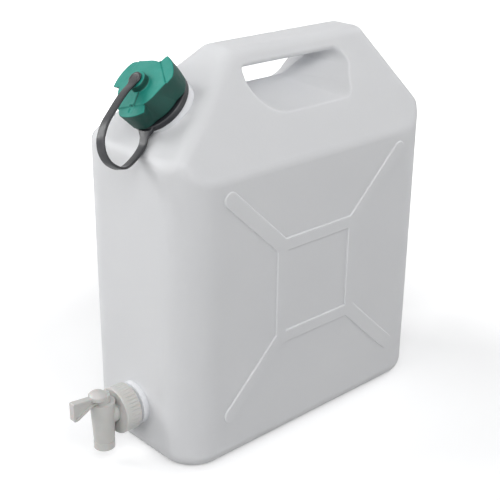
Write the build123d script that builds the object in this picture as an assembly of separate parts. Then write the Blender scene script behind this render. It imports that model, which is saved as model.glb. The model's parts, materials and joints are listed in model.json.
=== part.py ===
"""Water jerrycan of about ten litres, with a screw cap on a strap and a lever tap.

The can stands on the ground with its origin under the middle of the base.
X runs along the broad faces, the neck and the tap are at the -X end, and Z is up.
All sizes are in millimetres.
"""
import math
import os

from build123d import *

# Can: overall shape
length = 294.0
depth = 140.0
height = 340.0
wall = 2.0
edge_radius = 13.0
tap_corner_radius = 32.0
far_corner_radius = 36.0

# Can: the sloping faces, each from its lower corner to the level of the top
shoulder_run = 92.3
shoulder_drop = 70.7
far_slope_run = 44.4
far_slope_drop = 76.1
lean_run = 52.8
lean_drop = 85.6

# Handle: the slot through the middle plane and its wide mouth on each broad side
slot_left = -48.0
slot_right_low = 20.0
slot_right_high = 62.0
slot_floor_drop = 34.5
slot_top_drop = 17.0
mouth_reach = 60.0
mouth_left = -50.0
mouth_right_low = 72.0
mouth_right_high = 100.0
mouth_floor_drop = 55.0
mouth_top_drop = 11.0
slot_corners = (6.0, 22.0, 3.5, 3.0)
mouth_corners = (40.0, 25.0, 12.0, 3.0)
mouth_rim_radius = 3.0

# Raised ribs on the broad faces
rib_height = 1.2
rib_bevel = 0.8
panel_centre_z = 141.0
panel_size = 98.0
panel_band = 12.0
arm_width = 14.0
arm_reach_x = 100.0
arm_reach_z = 97.0

# Neck, leaning at 45 degrees whatever the shoulder's slope
neck_lean = 45.0
neck_up_slope = 48.3
neck_radius = 20.0
neck_bore_radius = 17.0
neck_length = 27.5
neck_seat_radius = 26.6
neck_seat_height = 5.9
neck_seat_root = 6.0

# Cap, measured along the neck from the shoulder: a tapered skirt with three ratchet-shaped wings
cap_radius = 30.0
cap_bottom = 12.5
cap_top = 32.1
cap_top_thickness = 2.6
cap_bore_clearance = 0.6
cap_skirt_top_radius = 22.4
cap_skirt_bottom_radius = 24.2
cap_skirt_taper_height = 15.0
cap_wing_count = 3
cap_wing_start = 15.0
cap_wing_end = 111.0
cap_wing_tip_radius = 3.0
cap_wing_back_radius = 6.0
cap_wing_root_radius = 1.2
cap_step_distance = 20.3
cap_step_angle = 82.0
cap_step_depth = 0.9
cap_edge_radius = 0.6
cap_boss_radius = 8.0
cap_boss_height = 6.0
cap_rib_width = 5.0
cap_rib_height = 1.5
cap_gasket_inner_radius = 15.5
cap_gasket_side_gap = 0.3
cap_gasket_top_gap = 0.1

# Strap between the neck and the cap
strap_angle = -161.0
strap_ring_outer_radius = 27.7
strap_ring_height = 5.9
strap_root_height = 3.8
strap_ring_side_gap = 0.5
strap_ring_under_gap = 0.1
strap_root_overlap = 2.0
strap_width = 8.0
strap_thickness = 2.0
strap_dip_reach = 41.1
strap_dip = 2.2
strap_low_reach = 63.4
strap_low_rise = 5.5
strap_reach = 72.4
strap_high_reach = 62.4
strap_high_rise = 9.0
strap_crest_reach = 48.0
strap_crest_rise = 11.2
strap_fall_reach = 14.8
strap_fall_rise = 4.3
strap_button_radius = 6.0
strap_button_height = 2.2
strap_stem_radius = 2.2
strap_stem_length = 4.0
strap_stem_clearance = 0.1
strap_button_gap = 0.2

# Outlet and tap
tap_height = 44.7
outlet_boss_radius = 19.0
outlet_boss_length = 5.0
spigot_radius = 15.0
spigot_bore_radius = 11.5
spigot_length = 16.1
tap_gasket_thickness = 1.5
tap_flange_thickness = 2.5
tap_flange_radius = 15.4
collar_radius = 20.4
collar_length = 14.6
collar_front_thickness = 3.0
collar_thread_gap = 1.0
collar_bevel = 0.8
collar_grooves = 40
collar_groove_width = 1.2
collar_groove_depth = 0.5
collar_neck_clearance = 0.3
sleeve_offset = 34.2
sleeve_top_radius = 10.8
sleeve_bottom_radius = 8.9
sleeve_rise = 14.2
sleeve_fall = 22.2
spout_length = 7.5
spout_radius = 9.1
spout_groove_height = 1.0
spout_groove_depth = 0.5
spout_bore_radius = 7.6
spout_bore_depth = 14.0
tap_tube_radius = 9.0
tap_passage_radius = 4.8
plug_radius = 6.7
plug_clearance = 0.06
plug_bore_radius = 4.9
plug_top_thickness = 3.0
snap_bead_size = 0.4
snap_bead_height = 1.4
snap_bead_gap = 0.2
hub_gap = 0.2
hub_radius = 6.7
hub_height = 6.6
hub_dome_height = 2.5
head_offset = 4.7
head_radius = 7.8
head_rise = 4.4
head_height = 3.6
head_dome_height = 4.0
lever_length = 30.4
lever_root_reach = 11.0
lever_tip_width = 4.0
lever_root_gap = 0.4
lever_height = 17.0
lever_tip_drop = 7.2
lever_root_dip = 2.2
lever_thickness = 6.0
lever_rim = 1.8
lever_recess = 1.4
lever_tip_radius = 1.2

half_length = length / 2
half_depth = depth / 2
overshoot = 600.0

# The shoulder's own directions: up its slope, and outward, square to it
up_slope = Vector(shoulder_run, 0, shoulder_drop).normalized()
shoulder_normal = Vector(-shoulder_drop, 0, shoulder_run).normalized()
shoulder_corner = Vector(-half_length, 0, height - shoulder_drop)
lean = math.radians(neck_lean)
neck_plane = Plane(
    origin=shoulder_corner + up_slope * neck_up_slope,
    x_dir=(math.cos(lean), 0, math.sin(lean)),
    z_dir=(-math.sin(lean), 0, math.cos(lean)),
)

# The outlet's own directions: out of the narrow face
outlet_plane = Plane(origin=(-half_length, 0, tap_height), x_dir=(0, 1, 0), z_dir=(-1, 0, 0))
tap_axis_x = -half_length - sleeve_offset

cap_bore_radius = neck_radius + cap_bore_clearance
cap_ceiling = cap_top - cap_top_thickness
ring_bottom = neck_seat_height + strap_ring_under_gap
strap_root = ring_bottom + strap_root_height
strap_top = cap_top + cap_boss_height + strap_button_gap + strap_thickness

flange_back = spigot_length + tap_gasket_thickness
flange_front = flange_back + tap_flange_thickness
collar_front = flange_front + collar_front_thickness
collar_back = collar_front - collar_length
sleeve_top = tap_height + sleeve_rise
sleeve_bottom = tap_height - sleeve_fall
spout_bottom = sleeve_bottom - spout_length
plug_bottom = spout_bottom + spout_bore_depth + snap_bead_height + 2 * snap_bead_gap


def disc(radius, bottom, top):
    """A round block about Z, from one level to another."""
    return Pos(0, 0, bottom) * Cylinder(radius, top - bottom, align=(Align.CENTER, Align.CENTER, Align.MIN))


def ring(outer, inner, bottom, top):
    """A round block with a hole through it."""
    return disc(outer, bottom, top) - disc(inner, bottom - 1, top + 1)


def domed_post(radius, bottom, shoulder, rise):
    """A round post about Z with a domed end, the dome a part of a ball."""
    ball_radius = (radius**2 + rise**2) / (2 * rise)
    halfway = radius / 2
    halfway_rise = rise - ball_radius + math.sqrt(ball_radius**2 - halfway**2)
    base = Line((0, bottom), (radius, bottom))
    side = Line(base @ 1, (radius, shoulder))
    dome = ThreePointArc(side @ 1, (halfway, shoulder + halfway_rise), (0, shoulder + rise))
    axis = Line(dome @ 1, base @ 0)
    return revolve(Plane.XZ * make_face([base, side, dome, axis]), Axis.Z)


def cut_above(shape, point, normal):
    """What is left of a shape below a plane."""
    block = Plane(origin=point, z_dir=normal) * Box(
        overshoot, overshoot, overshoot, align=(Align.CENTER, Align.CENTER, Align.MIN)
    )
    return shape - block


def faceted_can(inset):
    """The can's shape before its edges are rounded, with every face moved in by the inset."""
    plan = Rectangle(length - 2 * inset, depth - 2 * inset)
    tap_corners = plan.vertices().group_by(Axis.X)[0]
    plan = fillet(tap_corners, tap_corner_radius - inset)
    far_corners = [v for v in plan.vertices() if v.X > half_length - inset - 0.01]
    plan = fillet(far_corners, far_corner_radius - inset)
    shape = Pos(0, 0, inset) * extrude(plan, amount=height)

    far_normal = Vector(far_slope_drop, 0, far_slope_run).normalized()
    far_corner = Vector(half_length, 0, height - far_slope_drop)
    lean_corner = Vector(0, half_depth, height - lean_drop)
    lean_normal = Vector(0, lean_drop, lean_run).normalized()
    shape = cut_above(shape, shoulder_corner - shoulder_normal * inset, shoulder_normal)
    shape = cut_above(shape, far_corner - far_normal * inset, far_normal)
    shape = cut_above(shape, Vector(0, 0, height - inset), Vector(0, 0, 1))
    for side in (1, -1):
        point = lean_corner - lean_normal * inset
        shape = cut_above(
            shape, Vector(0, side * point.Y, point.Z), Vector(0, side * lean_normal.Y, lean_normal.Z)
        )
    return shape


def outline(corners, radii, y, grow):
    """A four-cornered outline at one distance from the middle plane, with rounded corners."""
    face = make_face(Polyline(*corners, close=True))
    for (x, z), radius in zip(corners, radii):
        corner = min(face.vertices(), key=lambda v: (v.X - x) ** 2 + (v.Y - z) ** 2)
        face = fillet(corner, radius)
    if grow:
        face = offset(face, amount=grow)
    return Plane(origin=(0, y, 0), x_dir=(1, 0, 0), z_dir=(0, -1, 0)) * face


def handle_slot(grow=0.0):
    """The slot under the handle bar: narrow in the middle plane and wide at both mouths."""
    slot_corner_points = (
        (slot_left, height - slot_floor_drop),
        (slot_right_low, height - slot_floor_drop),
        (slot_right_high, height - slot_top_drop),
        (slot_left, height - slot_top_drop),
    )
    mouth_corner_points = (
        (mouth_left, height - mouth_floor_drop),
        (mouth_right_low, height - mouth_floor_drop),
        (mouth_right_high, height - mouth_top_drop),
        (mouth_left, height - mouth_top_drop),
    )
    middle = outline(slot_corner_points, slot_corners, 0, grow)
    front = outline(mouth_corner_points, mouth_corners, -mouth_reach, grow)
    near_half = loft([middle.faces()[0], front.faces()[0]], ruled=True)
    return near_half + near_half.mirror(Plane.XZ)


def rib_block(base_y, shrink=0.0):
    """The ribs of one broad side, standing out of a plane at the given distance."""
    square = panel_size - 2 * shrink
    opening = panel_size - 2 * panel_band + 2 * shrink
    sketch = Rectangle(square, square) - Rectangle(opening, opening)
    root = (panel_size - panel_band) / 2
    run = math.hypot(arm_reach_x - root, arm_reach_z - root)
    angle = math.degrees(math.atan2(arm_reach_z - root, arm_reach_x - root))
    arm = Pos(root, root) * Rot(0, 0, angle) * Pos(run / 2, 0) * SlotCenterToCenter(run, arm_width - 2 * shrink)
    for flip_x in (False, True):
        for flip_z in (False, True):
            limb = arm
            if flip_x:
                limb = mirror(limb, Plane.YZ)
            if flip_z:
                limb = mirror(limb, Plane.XZ)
            sketch = sketch + limb
    sketch = sketch - Rectangle(opening, opening)
    sketch_plane = Plane(origin=(0, -base_y, panel_centre_z), x_dir=(1, 0, 0), z_dir=(0, -1, 0))
    return extrude(sketch_plane * sketch, amount=rib_height, dir=(0, -1, 0))


def can_body():
    """The blow-moulded can, one even wall all over, with its neck and outlet spigot."""
    core = faceted_can(edge_radius)
    outside = offset(core, amount=edge_radius, kind=Kind.ARC)
    inside = offset(core, amount=edge_radius - wall, kind=Kind.ARC)

    slot = handle_slot()
    pierced = outside - slot
    rim = new_edges(outside, slot, combined=pierced)
    outside = fillet(rim, mouth_rim_radius)
    inside = inside - handle_slot(grow=wall)

    for side in (1, -1):
        rib = rib_block(half_depth)
        rib = chamfer(rib.faces().sort_by(Axis.Y)[0].edges(), rib_bevel)
        groove = rib_block(half_depth - wall, shrink=wall / 2)
        if side == 1:
            rib = rib.mirror(Plane.XZ)
            groove = groove.mirror(Plane.XZ)
        outside = outside + rib
        inside = inside + groove

    neck = disc(neck_radius, 0, neck_length) + disc(neck_seat_radius, -neck_seat_root, neck_seat_height)
    boss = disc(outlet_boss_radius, -wall / 2, outlet_boss_length)
    spigot = disc(spigot_radius, 0, spigot_length)
    outside = outside + neck_plane * neck + outlet_plane * (boss + spigot)
    neck_bore = disc(neck_bore_radius, -2 * edge_radius, neck_length + 1)
    outlet_bore = disc(spigot_bore_radius, -2 * wall, spigot_length + 1)
    return outside - inside - neck_plane * neck_bore - outlet_plane * outlet_bore


def polar(radius, degrees):
    """A point in a plane, by its distance and direction from the origin."""
    angle = math.radians(degrees)
    return (radius * math.cos(angle), radius * math.sin(angle))


def cap_outline():
    """The cap from above: each wing's back leaves the round skirt as a tangent, its flank is radial."""
    back = cap_wing_start + math.degrees(math.acos(cap_skirt_top_radius / cap_radius))
    root = polar(cap_skirt_top_radius - 2 * cap_wing_tip_radius, cap_wing_end)
    slope = Line(polar(cap_skirt_top_radius, cap_wing_start), polar(cap_radius, back))
    tip = ThreePointArc(slope @ 1, polar(cap_radius, (back + cap_wing_end) / 2), polar(cap_radius, cap_wing_end))
    flank = Line(tip @ 1, root)
    wing = make_face([slope, tip, flank, Line(root, slope @ 0)])
    for corner, radius in ((slope @ 1, cap_wing_back_radius), (tip @ 1, cap_wing_tip_radius)):
        wing = fillet(wing.vertices().sort_by_distance(corner)[0], radius)
    face = Circle(cap_skirt_top_radius)
    for index in range(cap_wing_count):
        face = face + Rot(0, 0, 360 * index / cap_wing_count) * wing
    roots = [
        face.vertices().sort_by_distance(polar(cap_skirt_top_radius, cap_wing_end + 360 * index / cap_wing_count))[0]
        for index in range(cap_wing_count)
    ]
    return fillet(roots, cap_wing_root_radius)


def cap_layer(top):
    """The cap's outline raised to one level, with its top edge rounded."""
    layer = Pos(0, 0, cap_bottom) * extrude(cap_outline(), amount=top - cap_bottom)
    return fillet(layer.faces().sort_by(Axis.Z)[-1].edges(), cap_edge_radius)


def cap():
    """The screw cap: a tapered skirt, three wings a step below the top, a boss and one rib."""
    shape = cap_layer(cap_top)
    step_cut = Pos(cap_step_distance, 0, cap_bottom - 1) * Box(
        cap_radius, 2 * cap_radius, cap_top, align=(Align.MIN, Align.CENTER, Align.MIN)
    )
    for index in range(cap_wing_count):
        shape = shape - Rot(0, 0, cap_step_angle + 360 * index / cap_wing_count) * step_cut
    shape = shape + cap_layer(cap_top - cap_step_depth)
    shape = shape + Pos(0, 0, cap_bottom) * Cone(
        cap_skirt_bottom_radius,
        cap_skirt_top_radius,
        cap_skirt_taper_height,
        align=(Align.CENTER, Align.CENTER, Align.MIN),
    )
    shape = shape + disc(cap_boss_radius, cap_ceiling, cap_top + cap_boss_height)
    rib = Pos(0, 0, cap_ceiling) * Box(
        cap_step_distance,
        cap_rib_width,
        cap_top_thickness + cap_rib_height,
        align=(Align.MIN, Align.CENTER, Align.MIN),
    )
    shape = shape + Rot(0, 0, strap_angle) * rib
    shape = shape - disc(cap_bore_radius, cap_bottom - 1, cap_ceiling)
    socket_radius = strap_stem_radius + strap_stem_clearance
    socket_bottom = cap_top + cap_boss_height - strap_stem_length - strap_stem_clearance
    return neck_plane * (shape - disc(socket_radius, socket_bottom, cap_top + cap_boss_height + 1))


def cap_gasket():
    """The sealing ring between the neck's lip and the cap's ceiling."""
    outer = cap_bore_radius - cap_gasket_side_gap
    return neck_plane * ring(outer, cap_gasket_inner_radius, neck_length, cap_ceiling - cap_gasket_top_gap)


def strap_band():
    """The looped strip in its own plane: distance from the neck's axis, and height."""
    middle_top = strap_top - strap_thickness / 2
    root_reach = strap_ring_outer_radius - strap_root_overlap
    path = Line((root_reach, strap_root), (root_reach + 2 * strap_root_overlap, strap_root - strap_dip / 4))
    pieces = [path]
    turns = (
        (strap_dip_reach, strap_root - strap_dip),
        (strap_low_reach, strap_root + strap_low_rise),
        (strap_reach, (strap_root + middle_top) / 2 + strap_high_rise),
        (strap_high_reach, middle_top + strap_high_rise),
        (strap_crest_reach, middle_top + strap_crest_rise),
        (strap_fall_reach, middle_top + strap_fall_rise),
        (0, middle_top),
    )
    for point in turns:
        path = TangentArc(path @ 1, point, tangent=path % 1)
        pieces.append(path)
    return trace(pieces, line_width=strap_thickness)


def cap_strap():
    """The flexible strap: a ring round the neck, a looped strip and a button on the cap's boss."""
    shape = ring(
        strap_ring_outer_radius, neck_radius + strap_ring_side_gap, ring_bottom, ring_bottom + strap_ring_height
    )
    strip = extrude(Plane.XZ * strap_band(), amount=strap_width / 2, both=True)
    shape = shape + Rot(0, 0, strap_angle) * strip
    button_bottom = strap_top - strap_thickness
    button = domed_post(strap_button_radius, button_bottom, strap_top, strap_button_height)
    stem = disc(strap_stem_radius, cap_top + cap_boss_height - strap_stem_length, button_bottom + 0.5)
    return neck_plane * (shape + button + stem)


def tap_gasket():
    """The sealing ring between the spigot's lip and the tap's flange."""
    return outlet_plane * ring(spigot_radius, spigot_bore_radius, spigot_length, flange_back)


def tap_collar():
    """The nut round the outlet, with grip grooves, that pulls the tap's flange to the spigot."""
    outer = disc(collar_radius, collar_back, collar_front)
    front_edge = outer.edges().filter_by(GeomType.CIRCLE).sort_by(Axis.Z)[-1]
    outer = chamfer(front_edge, collar_bevel)
    notch = make_face(
        Polyline(
            (collar_radius - collar_groove_depth, 0),
            (collar_radius + collar_groove_depth, collar_groove_width),
            (collar_radius + collar_groove_depth, -collar_groove_width),
            close=True,
        )
    )
    groove = Pos(0, 0, collar_back - 1) * extrude(notch, amount=collar_length - collar_front_thickness)
    for index in range(collar_grooves):
        outer = outer - Rot(0, 0, 360 * index / collar_grooves) * groove
    bore = disc(spigot_radius + collar_thread_gap, collar_back - 1, flange_front)
    hole = disc(tap_tube_radius + collar_neck_clearance, collar_back - 1, collar_front + 1)
    return outlet_plane * (outer - bore - hole)


def tap_upright(radius, bottom, top):
    """A round block on the tap's upright axis, between two levels."""
    return Pos(tap_axis_x, 0, 0) * disc(radius, bottom, top)


def tap_body():
    """The tap's moulding: flange, short tube, tapered upright sleeve and spout."""
    sleeve = Pos(tap_axis_x, 0, sleeve_bottom) * Cone(
        sleeve_bottom_radius,
        sleeve_top_radius,
        sleeve_top - sleeve_bottom,
        align=(Align.CENTER, Align.CENTER, Align.MIN),
    )
    shape = sleeve + tap_upright(spout_radius, sleeve_bottom - spout_length, sleeve_bottom)
    shape = shape - (
        tap_upright(spout_radius + 1, sleeve_bottom - spout_groove_height, sleeve_bottom)
        - tap_upright(spout_radius - spout_groove_depth, 0, height)
    )
    flange = disc(tap_flange_radius, flange_back, flange_front)
    tube = disc(tap_tube_radius, flange_back, sleeve_offset)
    shape = shape + outlet_plane * (flange + tube)
    shape = shape - tap_upright(plug_radius, plug_bottom, sleeve_top + 1)
    shape = shape - tap_upright(spout_bore_radius, spout_bottom - 1, spout_bottom + spout_bore_depth)
    shape = shape - tap_upright(plug_radius + snap_bead_size + plug_clearance, spout_bottom, plug_bottom)
    return shape - outlet_plane * disc(tap_passage_radius, flange_back - 1, sleeve_offset)


def lever():
    """The flat lever, thick at its rim, deeper at its tip than at its root."""
    tip_low = sleeve_top - lever_tip_drop
    tip_high = tip_low + lever_height
    root_low = sleeve_top + hub_gap + lever_root_gap
    root_high = tip_high - lever_root_dip
    points = (
        (0, root_low),
        (lever_root_reach, root_low),
        (lever_length - lever_tip_width, tip_low),
        (lever_length, tip_low),
        (lever_length, tip_high),
        (lever_root_reach, root_high),
        (0, root_high),
    )
    face = make_face(Polyline(*points, close=True))
    face = fillet(face.vertices().group_by(Axis.X)[-1], lever_tip_radius)
    blade = extrude(Plane.XZ * face, amount=lever_thickness / 2, both=True)
    inner = offset(face, amount=-lever_rim)
    recess = extrude(Plane.XZ * inner, amount=lever_recess)
    depth_in = lever_thickness / 2 - lever_recess
    blade = blade - Pos(0, -depth_in, 0) * recess
    blade = blade - Pos(0, depth_in + lever_recess, 0) * recess
    return Pos(tap_axis_x, 0, 0) * Rot(0, 0, 180) * blade


def tap_spindle():
    """The turning piece: a hollow plug with a side port, a hub with a domed head, and the lever."""
    plug = plug_radius - plug_clearance
    hub_bottom = sleeve_top + hub_gap
    bead_top = plug_bottom - snap_bead_gap
    bead_bottom = bead_top - snap_bead_height
    shape = tap_upright(plug, bead_bottom, hub_bottom)
    shape = shape + tap_upright(plug + snap_bead_size, bead_bottom, bead_top)
    shape = shape - tap_upright(plug_bore_radius, bead_bottom - 1, sleeve_top - plug_top_thickness)
    port = Pos(tap_axis_x, 0, tap_height) * Rot(90, 0, 0) * disc(tap_passage_radius, 0, 2 * plug_radius)
    shape = shape - port
    hub = domed_post(hub_radius, hub_bottom, hub_bottom + hub_height, hub_dome_height)
    head_bottom = hub_bottom + head_rise
    head = domed_post(head_radius, head_bottom, head_bottom + head_height, head_dome_height)
    top = Pos(tap_axis_x, 0, 0) * hub + Pos(tap_axis_x - head_offset, 0, 0) * head
    return shape + (top + lever())


pieces = {
    "can_body": can_body,
    "cap": cap,
    "cap_gasket": cap_gasket,
    "cap_strap": cap_strap,
    "tap_body": tap_body,
    "tap_collar": tap_collar,
    "tap_gasket": tap_gasket,
    "tap_spindle": tap_spindle,
}

os.makedirs("parts", exist_ok=True)
for name, make in pieces.items():
    export_step(make(), f"parts/{name}.step")
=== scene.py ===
"""The looks of the water jerrycan: a milky can, a green cap on a black strap and a white tap."""
import json
import math

import bmesh
import bpy
from mathutils import Matrix, Vector


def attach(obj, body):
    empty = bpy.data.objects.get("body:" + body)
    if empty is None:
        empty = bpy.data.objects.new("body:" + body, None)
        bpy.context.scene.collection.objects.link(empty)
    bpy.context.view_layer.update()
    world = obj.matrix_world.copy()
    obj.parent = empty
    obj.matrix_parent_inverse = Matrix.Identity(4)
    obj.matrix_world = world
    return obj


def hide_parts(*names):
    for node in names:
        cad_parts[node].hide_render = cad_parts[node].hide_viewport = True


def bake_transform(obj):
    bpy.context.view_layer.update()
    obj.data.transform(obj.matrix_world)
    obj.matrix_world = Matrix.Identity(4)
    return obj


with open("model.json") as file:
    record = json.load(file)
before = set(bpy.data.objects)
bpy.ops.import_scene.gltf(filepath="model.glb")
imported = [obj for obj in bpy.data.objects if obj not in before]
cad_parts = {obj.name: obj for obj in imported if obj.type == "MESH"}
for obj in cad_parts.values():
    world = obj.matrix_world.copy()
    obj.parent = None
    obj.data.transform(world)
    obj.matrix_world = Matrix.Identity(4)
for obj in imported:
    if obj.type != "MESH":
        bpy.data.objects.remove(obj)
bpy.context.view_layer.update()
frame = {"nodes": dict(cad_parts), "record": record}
nodes = frame["nodes"]


# Places on the neck, given in millimetres along its own directions

mm = 0.001
neck_foot = Vector((-0.108656, 0, 0.298671))
neck_axis = Vector((-math.sqrt(0.5), 0, math.sqrt(0.5)))
neck_side = Vector((math.sqrt(0.5), 0, math.sqrt(0.5)))
neck_across = Vector((0, 1, 0))


def on_neck(x, y, height):
    """The place in metres of a point given across the neck and up it."""
    return neck_foot + mm * (x * neck_side + y * neck_across + height * neck_axis)


def turned(reach, angle):
    """A place in the plane across the neck, by its distance and angle."""
    return reach * math.cos(math.radians(angle)), reach * math.sin(math.radians(angle))


def eased(value):
    """A smooth step from nought to one."""
    value = min(max(value, 0.0), 1.0)
    return value * value * (3 - 2 * value)


# Camera: the photograph's viewing angle, from the fitted edges of the can

camera_place = Vector((-0.6075, -0.6375, 0.5237))
camera_yaw = math.radians(-42.93)
camera_pitch = math.radians(23.27)
camera_roll = math.radians(0.66)
photo_width = 500
focal_pixels = 1050.2
sensor_width = 36.0


def make_camera():
    """A camera that looks the way the photograph does."""
    level = math.cos(camera_pitch)
    forward = Vector(
        (-math.sin(camera_yaw) * level, math.cos(camera_yaw) * level, -math.sin(camera_pitch))
    )
    right = forward.cross(Vector((0, 0, 1))).normalized()
    up = right.cross(forward)
    cos_roll = math.cos(camera_roll)
    sin_roll = math.sin(camera_roll)
    rolled_right = cos_roll * right + sin_roll * up
    rolled_up = cos_roll * up - sin_roll * right
    data = bpy.data.cameras.new("camera")
    data.sensor_width = sensor_width
    data.lens = focal_pixels / photo_width * sensor_width
    data.clip_start = 0.01
    camera = bpy.data.objects.new("camera", data)
    turn = Matrix((rolled_right, rolled_up, -forward)).transposed().to_4x4()
    camera.matrix_world = Matrix.Translation(camera_place) @ turn
    bpy.context.scene.collection.objects.link(camera)
    bpy.context.scene.camera = camera


# Materials

ramp_low = 0.3
ramp_high = 0.7
# Where the cap's green goes from its painted side shade to its top green, by how far a face looks up the
# neck's axis.
cap_side_facing = 0.35
cap_top_facing = 0.9


class Nodes:
    """A material's node tree with short calls to add and join nodes."""

    def __init__(self, name):
        self.material = bpy.data.materials.new(name)
        self.material.use_nodes = True
        self.tree = self.material.node_tree
        self.shader = self.tree.nodes["Principled BSDF"]

    def add(self, kind, **values):
        node = self.tree.nodes.new(kind)
        for key, value in values.items():
            if hasattr(node, key):
                setattr(node, key, value)
            else:
                node.inputs[key.replace("_", " ")].default_value = value
        return node

    def join(self, source, target):
        self.tree.links.new(source, target)

    def set(self, **values):
        for key, value in values.items():
            self.shader.inputs[key.replace("_", " ")].default_value = value

    def noise(self, scale, detail=3.0, roughness=0.5):
        """Noise fixed to the object, with a number of cells to the metre."""
        place = self.add("ShaderNodeTexCoord")
        noise = self.add("ShaderNodeTexNoise", Scale=scale, Detail=detail, Roughness=roughness)
        self.join(place.outputs["Object"], noise.inputs["Vector"])
        return noise.outputs["Fac"]

    def ramp(self, factor, *stops):
        """Colours between stops, each a place on the ramp and a colour."""
        ramp = self.add("ShaderNodeValToRGB")
        elements = ramp.color_ramp.elements
        while len(elements) < len(stops):
            elements.new(0.5)
        for element, (place, colour) in zip(elements, stops):
            element.position = place
            element.color = colour
        self.join(factor, ramp.inputs["Fac"])
        return ramp.outputs["Color"]

    def coloured(self, factor, low, high):
        """A base colour that wanders between two colours."""
        colour = self.ramp(factor, (ramp_low, (*low, 1)), (ramp_high, (*high, 1)))
        self.join(colour, self.shader.inputs["Base Color"])

    def rough(self, factor, low, high):
        """Roughness that wanders between two levels."""
        level = self.ramp(factor, (ramp_low, grey(low)), (ramp_high, grey(high)))
        self.join(level, self.shader.inputs["Roughness"])

    def bump(self, *layers):
        """Bump from several heights, each with its depth in metres, joined in a chain."""
        last = None
        for height, depth in layers:
            bump = self.add("ShaderNodeBump", Strength=1.0, Distance=depth)
            self.join(height, bump.inputs["Height"])
            if last:
                self.join(last, bump.inputs["Normal"])
            last = bump.outputs["Normal"]
        self.join(last, self.shader.inputs["Normal"])


def grey(level):
    return (level, level, level, 1)


def milky_plastic():
    """Translucent polyethylene: milky, satin, a little uneven in thickness."""
    m = Nodes("milky_plastic")
    m.coloured(m.noise(9.0, 2.0), (0.785, 0.795, 0.82), (0.815, 0.825, 0.845))
    m.rough(m.noise(60.0, 4.0), 0.46, 0.56)
    m.set(Subsurface_Weight=0.8, Subsurface_Scale=0.01, IOR=1.4)
    m.shader.inputs["Subsurface Radius"].default_value = (1.0, 1.0, 1.0)
    m.bump((m.noise(14.0, 2.0), 0.0008), (m.noise(420.0), 0.00004))
    return m.material


def green_plastic():
    """Moulded green plastic: its own green where it faces up the neck, and painted shade, a much deeper
    green, on its sides.
    """
    m = Nodes("green_plastic")
    facing = m.add("ShaderNodeNewGeometry")
    along = m.add("ShaderNodeVectorMath", operation="DOT_PRODUCT")
    along.inputs[1].default_value = neck_axis
    m.join(facing.outputs["Normal"], along.inputs[0])
    upward = m.add("ShaderNodeMapRange", From_Min=cap_side_facing, From_Max=cap_top_facing)
    m.join(along.outputs["Value"], upward.inputs["Value"])
    # The top's green, with a tone that wanders at random.
    top_green = m.ramp(
        m.noise(70.0, 5.0, 0.65),
        (ramp_low, (0.011, 0.225, 0.178, 1)),
        (ramp_high, (0.02, 0.265, 0.215, 1)),
    )
    # Painted shade: the much deeper green given to faces that look sideways from the neck's axis.
    painted_side_shade = m.ramp(
        m.noise(45.0),
        (ramp_low, (0.002, 0.036, 0.028, 1)),
        (ramp_high, (0.004, 0.062, 0.048, 1)),
    )
    mix = m.add("ShaderNodeMix", data_type="RGBA")
    m.join(upward.outputs["Result"], mix.inputs[0])
    m.join(painted_side_shade, mix.inputs[6])
    m.join(top_green, mix.inputs[7])
    m.join(mix.outputs[2], m.shader.inputs["Base Color"])
    m.rough(m.noise(180.0, 4.0), 0.46, 0.62)
    m.set(Specular_IOR_Level=0.35)
    m.bump((m.noise(900.0), 0.00005), (m.noise(160.0), 0.00012), (m.noise(50.0, 2.0), 0.0002))
    return m.material


def black_plastic():
    """Soft flexible black plastic."""
    m = Nodes("black_plastic")
    m.coloured(m.noise(60.0), (0.009, 0.0095, 0.012), (0.018, 0.019, 0.023))
    m.rough(m.noise(200.0, 4.0), 0.3, 0.42)
    m.bump((m.noise(800.0, 4.0), 0.00005), (m.noise(140.0, 2.0), 0.0003))
    return m.material


def white_plastic():
    """Moulded white plastic, slightly warm."""
    m = Nodes("white_plastic")
    m.coloured(m.noise(50.0), (0.50, 0.497, 0.475), (0.56, 0.557, 0.54))
    m.rough(m.noise(200.0, 4.0), 0.28, 0.4)
    m.set(Subsurface_Weight=0.2, Subsurface_Scale=0.004)
    m.bump((m.noise(700.0), 0.00004), (m.noise(60.0, 2.0), 0.00012))
    return m.material


def seal_rubber():
    """Soft white sealing rubber."""
    m = Nodes("seal_rubber")
    m.coloured(m.noise(90.0), (0.5, 0.5, 0.48), (0.56, 0.56, 0.54))
    m.set(Roughness=0.75)
    m.bump((m.noise(900.0), 0.00005))
    return m.material


def paint(obj, material):
    """Gives every slot of an object one material."""
    if not obj.material_slots:
        obj.data.materials.append(material)
    for place in obj.material_slots:
        place.material = material


# Floor and light

floor_reach = 8.0
floor_near = 0.25
floor_far = 0.9
floor_near_glow = 0.3
floor_pale = 0.8
floor_return = 0.4
lamps = (
    ("left", (-2.6, 0.1, 0.9), 19),
    ("left_back", (-1.6, 1.8, 1.6), 36),
    ("corner", (-1.5, -1.5, 2.0), 29),
    ("front", (-0.1, -2.6, 0.9), 10),
    ("front_high", (0.1, -2.0, 2.0), 14),
    ("right", (2.0, -0.4, 2.0), 16),
)
lamp_width = 1.4
can_middle = (0, 0, 0.17)
surround_colour = (0.93, 0.95, 1.0, 1)
surround_strength = 0.16


def seen_rays(tree):
    """One where a ray comes from the camera, a reflection or through something clear."""
    rays = tree.nodes.new("ShaderNodeLightPath")
    both = tree.nodes.new("ShaderNodeMath")
    both.operation = "MAXIMUM"
    every = tree.nodes.new("ShaderNodeMath")
    every.operation = "MAXIMUM"
    tree.links.new(rays.outputs["Is Camera Ray"], both.inputs[0])
    tree.links.new(rays.outputs["Is Glossy Ray"], both.inputs[1])
    tree.links.new(both.outputs[0], every.inputs[0])
    tree.links.new(rays.outputs["Is Transmission Ray"], every.inputs[1])
    return every.outputs[0]


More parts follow.
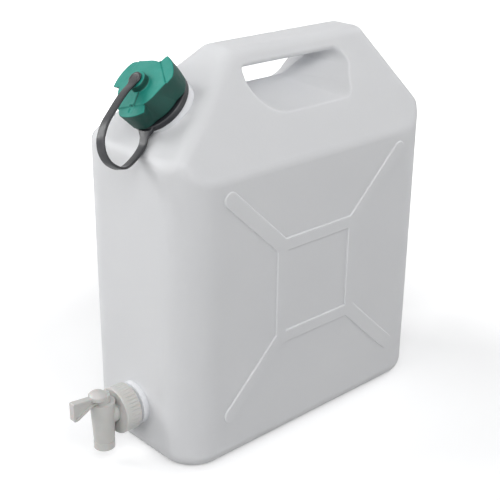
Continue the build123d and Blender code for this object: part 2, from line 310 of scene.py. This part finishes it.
def floor_material():
    """White where it is seen, with the can's shadow on it; greyer to the light that it sends back up."""
    m = Nodes("floor")
    place = m.add("ShaderNodeTexCoord")
    reach = m.add("ShaderNodeVectorMath", operation="LENGTH")
    m.join(place.outputs["Object"], reach.inputs[0])
    glow = m.add("ShaderNodeMapRange", From_Min=floor_near, From_Max=floor_far, To_Min=floor_near_glow)
    m.join(reach.outputs["Value"], glow.inputs["Value"])
    light = m.add("ShaderNodeEmission", Color=(1, 1, 1, 1))
    m.join(glow.outputs["Result"], light.inputs["Strength"])
    pale = m.add("ShaderNodeBsdfDiffuse", Color=grey(floor_pale))
    white = m.add("ShaderNodeAddShader")
    m.join(pale.outputs[0], white.inputs[0])
    m.join(light.outputs[0], white.inputs[1])
    dark = m.add("ShaderNodeBsdfDiffuse", Color=grey(floor_return))
    mix = m.add("ShaderNodeMixShader")
    m.join(seen_rays(m.tree), mix.inputs[0])
    m.join(dark.outputs[0], mix.inputs[1])
    m.join(white.outputs[0], mix.inputs[2])
    m.join(mix.outputs[0], m.tree.nodes["Material Output"].inputs["Surface"])
    m.tree.nodes.remove(m.shader)
    return m.material


def make_floor():
    """A plain level floor, which isn't part of the object."""
    mesh = bpy.data.meshes.new("floor")
    corners = [(floor_reach * x, floor_reach * y, 0) for x, y in ((-1, -1), (1, -1), (1, 1), (-1, 1))]
    mesh.from_pydata(corners, [], [(0, 1, 2, 3)])
    floor = bpy.data.objects.new("floor", mesh)
    bpy.context.scene.collection.objects.link(floor)
    paint(floor, floor_material())


def make_lamp(name, place, power):
    """A square soft light that looks at the middle of the can."""
    data = bpy.data.lights.new(name, "AREA")
    data.shape = "SQUARE"
    data.size = lamp_width
    data.energy = power
    lamp = bpy.data.objects.new(name, data)
    lamp.location = place
    look = Vector(can_middle) - Vector(place)
    lamp.rotation_euler = look.to_track_quat("-Z", "Y").to_euler()
    bpy.context.scene.collection.objects.link(lamp)


def make_light():
    """Soft lamps all round, strongest from the left, and a pale surround."""
    for name, place, power in lamps:
        make_lamp(name, place, power)
    world = bpy.data.worlds.new("world")
    world.use_nodes = True
    tree = world.node_tree
    surround = tree.nodes["Background"]
    surround.inputs["Color"].default_value = surround_colour
    surround.inputs["Strength"].default_value = surround_strength
    backdrop = tree.nodes.new("ShaderNodeBackground")
    backdrop.inputs["Color"].default_value = (1, 1, 1, 1)
    mix = tree.nodes.new("ShaderNodeMixShader")
    tree.links.new(seen_rays(tree), mix.inputs[0])
    tree.links.new(surround.outputs[0], mix.inputs[1])
    tree.links.new(backdrop.outputs[0], mix.inputs[2])
    tree.links.new(mix.outputs[0], tree.nodes["World Output"].inputs["Surface"])
    bpy.context.scene.world = world
    bpy.context.scene.view_settings.view_transform = "Standard"


# Mesh helpers

def piece_from(name, points, faces, material):
    """A smooth mesh piece whose faces all look outward."""
    mesh = bpy.data.meshes.new(name)
    mesh.from_pydata(points, [], faces)
    shape = bmesh.new()
    shape.from_mesh(mesh)
    bmesh.ops.recalc_face_normals(shape, faces=shape.faces)
    shape.to_mesh(mesh)
    shape.free()
    for face in mesh.polygons:
        face.use_smooth = True
    piece = bpy.data.objects.new(name, mesh)
    bpy.context.scene.collection.objects.link(piece)
    paint(piece, material)
    return piece


def skin(loops, closed=False):
    """Points and faces of a surface over loops of equal length; closed joins the last to the first."""
    count = len(loops[0])
    points = [point for loop in loops for point in loop]
    faces = []
    last = len(loops) if closed else len(loops) - 1
    for row in range(last):
        start = row * count
        above = (row + 1) % len(loops) * count
        for index in range(count):
            beside = (index + 1) % count
            faces.append((start + index, start + beside, above + beside, above + index))
    return points, faces


def capped(loops):
    """A skin with its two ends closed."""
    points, faces = skin(loops)
    count = len(loops[0])
    faces.append(tuple(range(count))[::-1])
    faces.append(tuple(range(len(points) - count, len(points))))
    return points, faces


def joined(*parts):
    """Several sets of points and faces as one."""
    points = []
    faces = []
    for some, over in parts:
        faces += [tuple(index + len(points) for index in face) for face in over]
        points += some
    return points, faces


# The screw cap, measured in millimetres from its axis and up the neck

cap_radius = 30.0
cap_core_radius = 22.4
cap_skirt_radius = 24.2
cap_bottom = 12.5
cap_top = 32.1
cap_ceiling = 29.5
cap_bore = 20.6
cap_lip = 0.6
cap_lip_round = 0.2
wing_count = 3
wing_pitch = 360 / wing_count
wing_start = 15
wing_sweep = 96
wing_back = math.degrees(math.acos(cap_core_radius / cap_radius))
wing_back_bend = 0.8
wing_back_blend = 8
wing_foot_loss = 1.0
flank_width = 4.5
flank_spread = 26
flank_fade = 1.3
step_distance = 20.3
step_angle = 82
step_depth = 0.9
step_width = 0.35
groove_depth = 0.3
groove_width = 0.4
side_margin = 1.8
boss_radius = 8.0
boss_top = 38.1
boss_edge = 0.7
boss_root = 0.9
socket_radius = 2.7
socket_bottom = 33.5
rib_width = 5.0
rib_height = 1.5
rib_edge = 0.7
recess_reach = 26.0
recess_edge = 0.8
recess_depth = 0.7
thread_pitch = 4.0
thread_depth = 0.4
thread_share = 0.16
thread_top_gap = 0.3
thread_bottom_gap = 0.7
top_edge = 1.0
strap_angle = -161

flank_before = 7
flank_after = 3
flank_steps = 50
back_steps = 110
bore_rows = 40
side_rows = 22
top_rows = 44


def cap_angles():
    """Angles round the cap, closer together at the wings' steep flanks."""
    narrow = flank_before + flank_after
    angles = []
    for wing in range(wing_count):
        flank = wing_start + wing_sweep + wing * wing_pitch
        angles += [flank - flank_before + narrow * step / flank_steps for step in range(flank_steps)]
        wide = wing_pitch - narrow
        angles += [flank + flank_after + wide * step / back_steps for step in range(back_steps)]
    return angles


def cap_reach(angle, height):
    """How far the cap reaches at one angle and height: the tapered skirt, or the wing outside it."""
    depth = (cap_top - height) / (cap_top - cap_bottom)
    skirt = cap_core_radius + (cap_skirt_radius - cap_core_radius) * depth
    local = (angle - wing_start) % wing_pitch
    wing = cap_radius - wing_foot_loss * depth
    if local < wing_back + wing_back_blend:
        slope = cap_core_radius / math.cos(math.radians(local))
        shares = math.exp(-slope / wing_back_bend) + math.exp(-wing / wing_back_bend)
        wing = -wing_back_bend * math.log(shares)
    spread = flank_width + flank_spread * depth ** flank_fade
    kept = 1 - eased((local - wing_sweep + spread) / spread)
    return skirt + max(0.0, wing - skirt) * kept


def cap_level(x, y):
    """The height of the cap's top, with its steps, rib and recess."""
    level = cap_top
    for wing in range(wing_count):
        toward_x, toward_y = turned(1, step_angle + wing * wing_pitch)
        past = x * toward_x + y * toward_y - step_distance
        level -= step_depth * eased(past / step_width)
        level -= groove_depth * math.exp(-((past - step_width) / groove_width) ** 2)
    toward_x, toward_y = turned(1, strap_angle)
    out = x * toward_x + y * toward_y
    aside = abs(y * toward_x - x * toward_y)
    within = eased((rib_width / 2 + rib_edge / 2 - aside) / rib_edge)
    if 0 < out < step_distance:
        level += rib_height * within
    elif step_distance + 1 < out:
        level -= recess_depth * within * eased((recess_reach - out) / recess_edge)
    return level


def round_loop(reach, height):
    """A circle round the cap's axis, with the cap's own angles."""
    return [on_neck(*turned(reach, angle), height) for angle in cap_angles()]


def outline_loop(inset, height, outline_height):
    """The cap's outline as it is at outline_height, drawn in by the inset and laid at height."""
    return [
        on_neck(*turned(cap_reach(angle, outline_height) - inset, angle), height)
        for angle in cap_angles()
    ]


def thread_loops():
    """The cap's bore from its ceiling down, with the thread's ridge in it."""
    high = cap_ceiling - thread_top_gap
    drop = high - cap_bottom - thread_bottom_gap
    loops = []
    for row in range(bore_rows + 1):
        height = high - drop * row / bore_rows
        loop = []
        for angle in cap_angles():
            turn = (height / thread_pitch - angle / 360) % 1
            ridge = thread_depth * math.exp(-((turn - 0.5) / thread_share) ** 2)
            loop.append(on_neck(*turned(cap_bore - ridge, angle), height))
        loops.append(loop)
    return loops


def side_loops():
    """The cap's lower lip and its side, up to where the top edge starts to round."""
    loops = [
        round_loop(cap_bore + cap_lip, cap_bottom),
        outline_loop(cap_lip, cap_bottom, cap_bottom),
        outline_loop(cap_lip_round, cap_bottom + cap_lip_round, cap_bottom),
    ]
    low = cap_bottom + cap_lip
    climb = cap_top - side_margin - low
    for row in range(side_rows + 1):
        height = low + climb * row / side_rows
        loops.append(outline_loop(0, height, height))
    return loops


def top_loops():
    """The rounded top edge, and the top with its steps, in to the boss."""
    rims = [cap_reach(angle, cap_top) for angle in cap_angles()]
    levels = [
        cap_level(*turned(rim - top_edge, angle))
        for angle, rim in zip(cap_angles(), rims)
    ]
    loops = []
    for turn in (10, 25, 40, 55, 70, 90):
        sink = top_edge * (1 - math.sin(math.radians(turn)))
        inset = top_edge * (1 - math.cos(math.radians(turn)))
        loops.append([
            on_neck(*turned(rim - inset, angle), level - sink)
            for angle, rim, level in zip(cap_angles(), rims, levels)
        ])
    root = boss_radius + boss_root
    for row in range(1, top_rows + 1):
        loop = []
        for angle, rim in zip(cap_angles(), rims):
            edge = rim - top_edge
            place = turned(edge + (root - edge) * row / top_rows, angle)
            loop.append(on_neck(*place, cap_level(*place)))
        loops.append(loop)
    return loops


def boss_loops():
    """The boss and the socket in it for the strap's stem."""
    profile = (
        (boss_radius + boss_root / 3, cap_top + boss_root / 3),
        (boss_radius, cap_top + boss_root),
        (boss_radius, cap_top + 2.4),
        (boss_radius, boss_top - 2.2),
        (boss_radius, boss_top - boss_edge),
        (boss_radius - 0.2, boss_top - 0.2),
        (boss_radius - boss_edge, boss_top),
        (socket_radius + 0.3, boss_top),
        (socket_radius, boss_top - 0.3),
        (socket_radius, socket_bottom),
        (0.2, socket_bottom),
    )
    return [round_loop(reach, height) for reach, height in profile]


def make_cap():
    """The cap as one closed skin: bore, lip, side, top and boss."""
    loops = thread_loops() + side_loops() + top_loops() + boss_loops()
    piece = piece_from("cap_shell", *capped(loops), finishes["green_plastic"])
    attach(piece, "screw_cap")
    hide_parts("cap")


# The strap: a ring round the neck, a looped strip and a button on the cap.
# Its line runs from the ring to the button, by distance from the neck's axis and height.

ring_outer = 27.7
ring_inner = 20.5
ring_low = 6.0
ring_high = 11.9
ring_edge = 1.3
ring_steps = 120
strap_line = (
    (25.5, 9.4), (29.5, 9.3), (34.2, 8.8), (41.1, 7.6), (51.0, 9.8),
    (63.4, 15.3), (69.0, 20.7), (71.8, 28.5), (71.9, 36.1), (68.6, 43.3),
    (62.4, 48.3), (56.2, 50.0), (47.1, 50.5), (36.3, 48.6), (25.0, 46.4),
    (14.8, 43.6), (6.5, 40.3), (0.0, 39.35), (-3.0, 39.3),
)
strap_width = 8.0
strap_thickness = 2.0
strap_edge = 0.8
strap_steps = 6
ring_flare = 3.2
ring_flare_start = 26.5
ring_flare_length = 9.0
ring_root = 0.9
ring_root_start = 27.0
ring_root_length = 8.0
button_flare = 0.5
button_flare_length = 12.0
button_radius = 5.8
button_low = 38.2
button_high = 40.5
stem_radius = 2.1
stem_bottom = 34.2
button_steps = 48


def rounded_outline(half_wide, half_high, edge, steps=4):
    """A rounded rectangle as pairs of distances."""
    pairs = []
    for quarter, (side, top) in enumerate(((1, 1), (-1, 1), (-1, -1), (1, -1))):
        for step in range(steps + 1):
            angle = math.radians(90 * (quarter + step / steps))
            pairs.append((
                side * (half_wide - edge) + edge * math.cos(angle),
                top * (half_high - edge) + edge * math.sin(angle),
            ))
    return pairs


def flowing(points, steps):
    """A smooth line through every point."""
    line = []
    ends = [points[0], *points, points[-1]]
    for index in range(len(points) - 1):
        before, here, there, after = [Vector(place) for place in ends[index:index + 4]]
        for step in range(steps):
            t = step / steps
            line.append(0.5 * (
                2 * here
                + (there - before) * t
                + (2 * before - 5 * here + 4 * there - after) * t * t
                + (3 * here - before - 3 * there + after) * t ** 3
            ))
    line.append(Vector(points[-1]))
    return line


def strap_half_width(out, index, count):
    """Half of the strip's width: it flares at the ring, and a little at the button."""
    if index < count / 2:
        gain = ring_flare * (1 - eased((out - ring_flare_start) / ring_flare_length))
    else:
        gain = button_flare * (1 - eased(out / button_flare_length))
    return strap_width / 2 + gain


def strap_root_thickness(out, index, count):
    """What half of the strip's thickness gains where it grows out of the ring."""
    if index < count / 2:
        return ring_root * (1 - eased((out - ring_root_start) / ring_root_length))
    return 0


def strip_loops():
    """Sections across the looped strip, from inside the ring to the button."""
    line = flowing(strap_line, strap_steps)
    loops = []
    for index, place in enumerate(line):
        before = line[max(index - 1, 0)]
        after = line[min(index + 1, len(line) - 1)]
        run = (after - before).normalized()
        lift = Vector((-run.y, run.x))
        half_wide = strap_half_width(place.x, index, len(line))
        half_thick = strap_thickness / 2 + strap_root_thickness(place.x, index, len(line))
        loop = []
        for aside, up in rounded_outline(half_wide, half_thick, strap_edge):
            spot = place + lift * up
            x, y = turned(spot.x, strap_angle)
            side_x, side_y = turned(aside, strap_angle + 90)
            loop.append(on_neck(x + side_x, y + side_y, spot.y))
        loops.append(loop)
    return loops


def ring_loops():
    """Sections round the ring on the neck."""
    middle = (ring_outer + ring_inner) / 2
    centre = (ring_low + ring_high) / 2
    section = rounded_outline((ring_outer - ring_inner) / 2, (ring_high - ring_low) / 2, ring_edge)
    loops = []
    for step in range(ring_steps):
        angle = 360 * step / ring_steps
        loops.append([on_neck(*turned(middle + out, angle), centre + up) for out, up in section])
    return loops


def button_loops():
    """The stem in the cap's socket and the dimpled button over it."""
    profile = (
        (0.4, stem_bottom), (stem_radius - 0.5, stem_bottom), (stem_radius, stem_bottom + 0.5),
        (stem_radius, button_low), (button_radius - 0.6, button_low), (button_radius, button_low + 0.6),
        (button_radius, button_high - 0.9), (button_radius - 0.3, button_high - 0.3),
        (button_radius - 0.9, button_high), (button_radius - 2.2, button_high - 0.1),
        (button_radius - 2.9, button_high - 0.5), (2.0, button_high - 0.6), (0.4, button_high - 0.6),
    )
    return [
        [on_neck(*turned(reach, 360 * step / button_steps), height) for step in range(button_steps)]
        for reach, height in profile
    ]


def make_strap():
    """The strap: its ring on the neck, its looped strip and its button on the cap, as one piece."""
    shape = joined(skin(ring_loops(), closed=True), capped(strip_loops()), capped(button_loops()))
    piece = piece_from("strap_loop", *shape, finishes["black_plastic"])
    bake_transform(piece)
    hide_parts("cap_strap")


make_camera()
make_floor()
make_light()

finishes = {
    "milky_plastic": milky_plastic(),
    "green_plastic": green_plastic(),
    "black_plastic": black_plastic(),
    "white_plastic": white_plastic(),
    "seal_rubber": seal_rubber(),
}
for part in frame["record"]["subparts"]:
    paint(nodes[part["node"]], finishes[part["material_slot"]])

make_cap()
make_strap()
